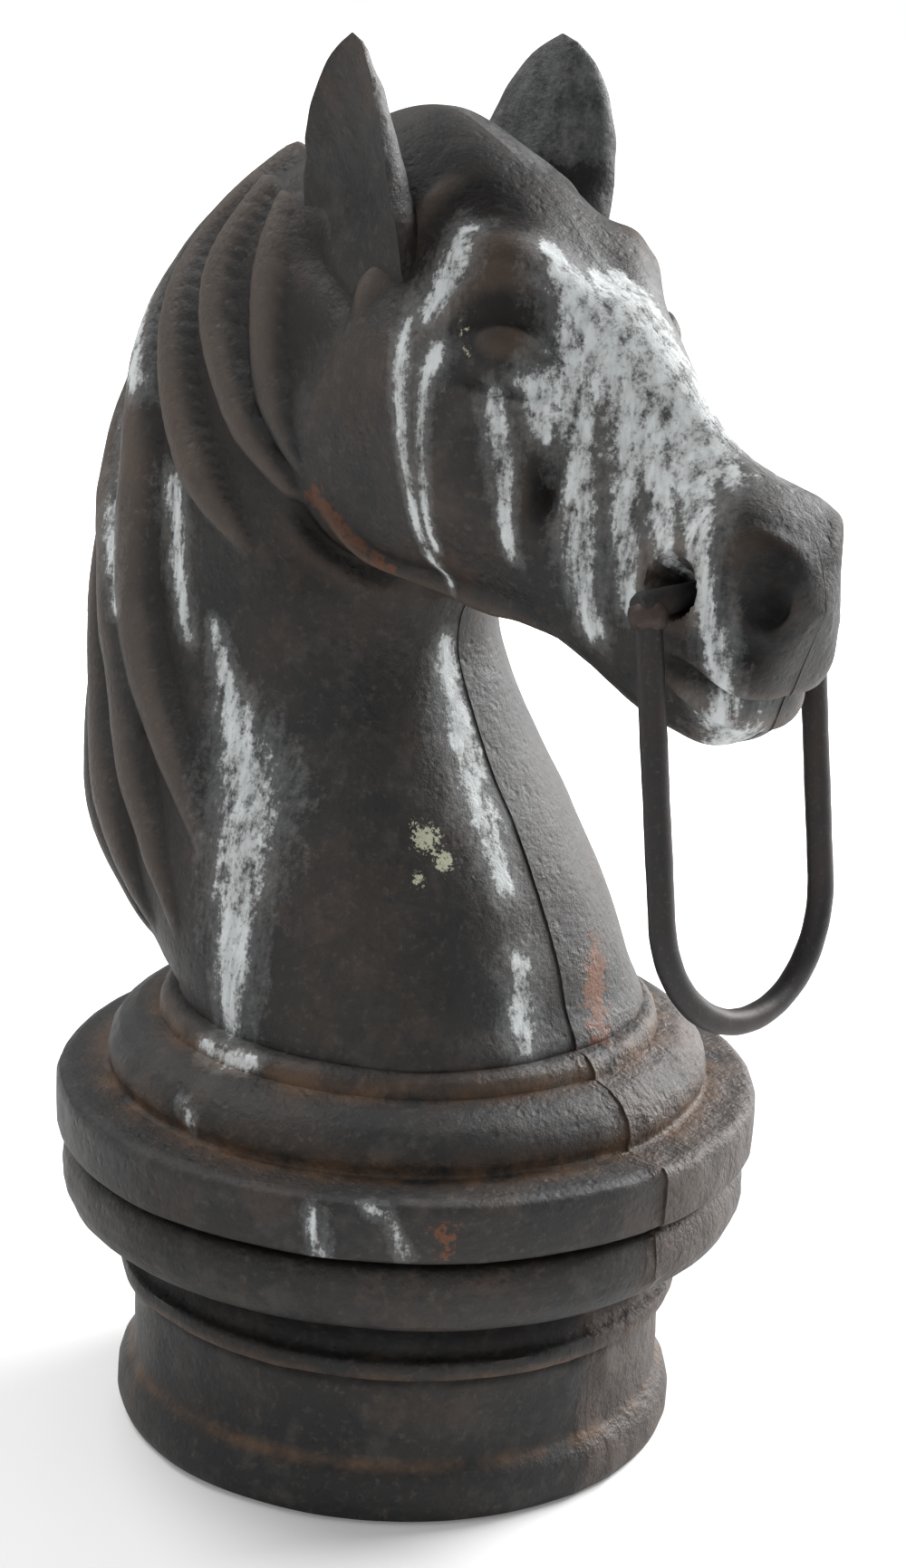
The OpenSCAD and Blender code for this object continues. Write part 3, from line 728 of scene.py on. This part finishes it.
bar_x = np.linspace(-BOW_R - BAR_END, BOW_R + BAR_END, BAR_ROWS)
bar_path = np.stack([bar_x, 0 * bar_x + MOUTH_Y, 0 * bar_x + BAR_Z], -1)
from_end = np.clip(np.minimum(bar_x - bar_x[0], bar_x[-1] - bar_x) / 1.2, 0, 1)
bar = add_mesh("mouth_bar_round", *tube(bar_path, BAR_R * (0.75 + 0.25 * np.sqrt(from_end))))

weld_points, weld_faces = joined([weld_bead(-1), weld_bead(1)])
welds = add_mesh("bail_weld_beads", swung(weld_points), weld_faces)

bar_steel = steel_material("browned_bar_steel", "#1d1e21", "#2a2320", 18, 0.0003)
weld_steel = steel_material("weld_metal", "#2b2725", "#3a2d26", 6, 0.0006)
for piece, cad_node, slot, steel in (
    (bow, "bail_bow", "rusted_bar", bar_steel),
    (bar, "mouth_bar", "rusted_bar", bar_steel),
    (welds, "bail_welds", "weld_metal", weld_steel),
):
    piece.data.materials.append(steel)
    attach(piece, "bail")
    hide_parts(cad_node)


# Tie bolts, washers and nuts
# Plain hexagon fasteners inside the hollow, through the lugs above the stop ledge; dull and lightly rusted.
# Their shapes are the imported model's own.

fastener_steel = steel_material("dull_fastener_steel", "#3c3937", "#4d3d33", 8, 0.0002)
for cad_node in ("tie_bolts", "tie_washers", "tie_nuts"):
    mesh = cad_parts[cad_node].data
    mesh.materials.clear()
    mesh.materials.append(fastener_steel)


# Stage
# A pale paper floor that runs out of view, a large soft light on the horse's left, and weaker ones
# behind and on its right. The camera stands where the photograph's did.

FLOOR_REACH, FLOOR_Z = 9000, -0.4
WHITE = (1, 1, 1, 1)
# the camera: 45 degrees off the horse's nose on its right side, looking down, rolled a little
CAMERA_PLACE = (-0.5332, -0.5332, 0.395)
HEADING, PITCH, ROLL = np.radians(-45.72), np.radians(16.23), np.radians(2.53)
FOCAL_PIXELS, PHOTO_HEIGHT, SENSOR = 3300, 1731, 36


def paper_material(name, code):
    """Matt paper; for the camera alone it also glows, more with the distance, and so runs out to white."""
    material, tree = new_material(name)
    where = node(tree, "ShaderNodeTexCoord").outputs["Object"]
    away = node(tree, "ShaderNodeVectorMath", {0: where}, operation="LENGTH").outputs["Value"]
    seen = node(tree, "ShaderNodeLightPath").outputs["Is Camera Ray"]
    strength = cover(tree, summed(tree, 0.1, (cover(tree, 1, (away, 0.2, 0.8)), 1)), (seen, 0, 1))
    paper = node(tree, "ShaderNodeBsdfDiffuse", {"Color": linear(code)})
    glow = node(tree, "ShaderNodeEmission", {"Color": WHITE, "Strength": strength})
    both = node(tree, "ShaderNodeAddShader", {0: paper.outputs[0], 1: glow.outputs[0]})
    node(tree, "ShaderNodeOutputMaterial", {"Surface": both.outputs[0]})
    return material


corners = [(x * FLOOR_REACH, y * FLOOR_REACH, FLOOR_Z) for x, y in ((-1, -1), (1, -1), (1, 1), (-1, 1))]
floor = add_mesh("studio_floor", np.array(corners), [(0, 1, 2, 3)])
floor.data.materials.append(paper_material("studio_paper", "#f0f0f0"))


def area_light(name, place, target, size, power):
    """A round soft light at place, turned to target; metres and watts."""
    light = bpy.data.lights.new(name, "AREA")
    light.shape, light.size, light.energy = "DISK", size, power
    lamp = bpy.data.objects.new(name, light)
    bpy.context.scene.collection.objects.link(lamp)
    lamp.location = place
    lamp.rotation_euler = (Vector(target) - Vector(place)).to_track_quat("-Z", "Y").to_euler()


area_light("key_right", (1.5, -0.25, 0.9), (0, 0, 0.15), 1.1, 62)
area_light("top_behind", (-0.3, 1.1, 1.9), (0, 0, 0.2), 1.2, 26)
area_light("fill_left_front", (-1.9, -0.9, 1.2), (0, 0, 0.2), 1.5, 6)

world = bpy.data.worlds.new("studio")
bpy.context.scene.world = world
world.use_nodes = True
sky = world.node_tree
sky.nodes.clear()
seen = node(sky, "ShaderNodeLightPath").outputs["Is Camera Ray"]
ambient = node(sky, "ShaderNodeBackground", {"Color": WHITE, "Strength": 0.5})
backdrop = node(sky, "ShaderNodeBackground", {"Color": WHITE, "Strength": 1.0})
choose = node(sky, "ShaderNodeMixShader", {0: seen, 1: ambient.outputs[0], 2: backdrop.outputs[0]})
node(sky, "ShaderNodeOutputWorld", {"Surface": choose.outputs[0]})

camera_data = bpy.data.cameras.new("camera")
camera_data.sensor_width = SENSOR
camera_data.lens = FOCAL_PIXELS / PHOTO_HEIGHT * SENSOR
camera = bpy.data.objects.new("camera", camera_data)
bpy.context.scene.collection.objects.link(camera)
looking = Matrix.Rotation(HEADING, 4, "Z") @ Matrix.Rotation(np.pi / 2 - PITCH, 4, "X")
camera.matrix_world = Matrix.Translation(CAMERA_PLACE) @ looking @ Matrix.Rotation(ROLL, 4, "Z")
bpy.context.scene.camera = camera
bpy.context.scene.view_settings.view_transform = "Standard"
